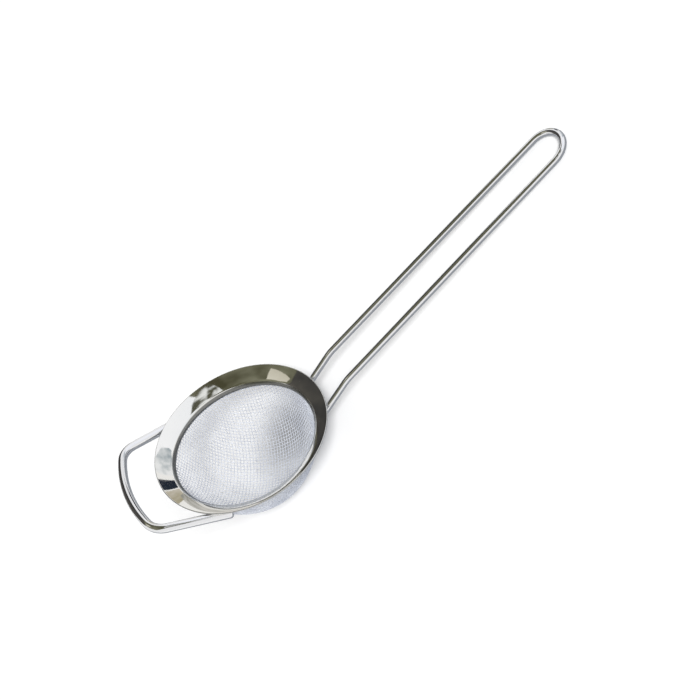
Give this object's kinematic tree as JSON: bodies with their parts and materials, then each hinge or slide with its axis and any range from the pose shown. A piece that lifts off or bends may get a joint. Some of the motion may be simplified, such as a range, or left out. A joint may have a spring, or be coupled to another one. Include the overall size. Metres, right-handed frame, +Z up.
{
  "type": "flour sifter",
  "caption": "Hand-held wire mesh sifter: round mesh bowl in a flared polished collar, with a long looped wire handle and a wire rest at the front.",
  "frame": {"origin": "the point under the mesh bowl where it touches the table, as the sifter lies at rest on its bowl and the end of its handle", "axes": "+Z up from the table, +X towards the end of the handle, symmetric about the XZ plane; the bowl's own axis leans 29.3 degrees towards +X"},
  "size_m": [0.2304, 0.0804, 0.0663],
  "materials": {
    "polished_sheet": "mirror polished stainless steel sheet",
    "satin_sheet": "satin stainless steel sheet",
    "bright_wire": "polished stainless steel wire",
    "woven_mesh": "plain woven stainless steel wire cloth",
    "weld_metal": "spot weld, slightly dulled"
  },
  "bodies": {
    "root": {"rim_collar": "polished_sheet", "mesh_bowl": "woven_mesh", "clamp_ring": "satin_sheet", "handle": "bright_wire", "front_rest": "bright_wire", "handle_welds": "weld_metal", "rest_welds": "weld_metal"}
  },
  "joints": []
}
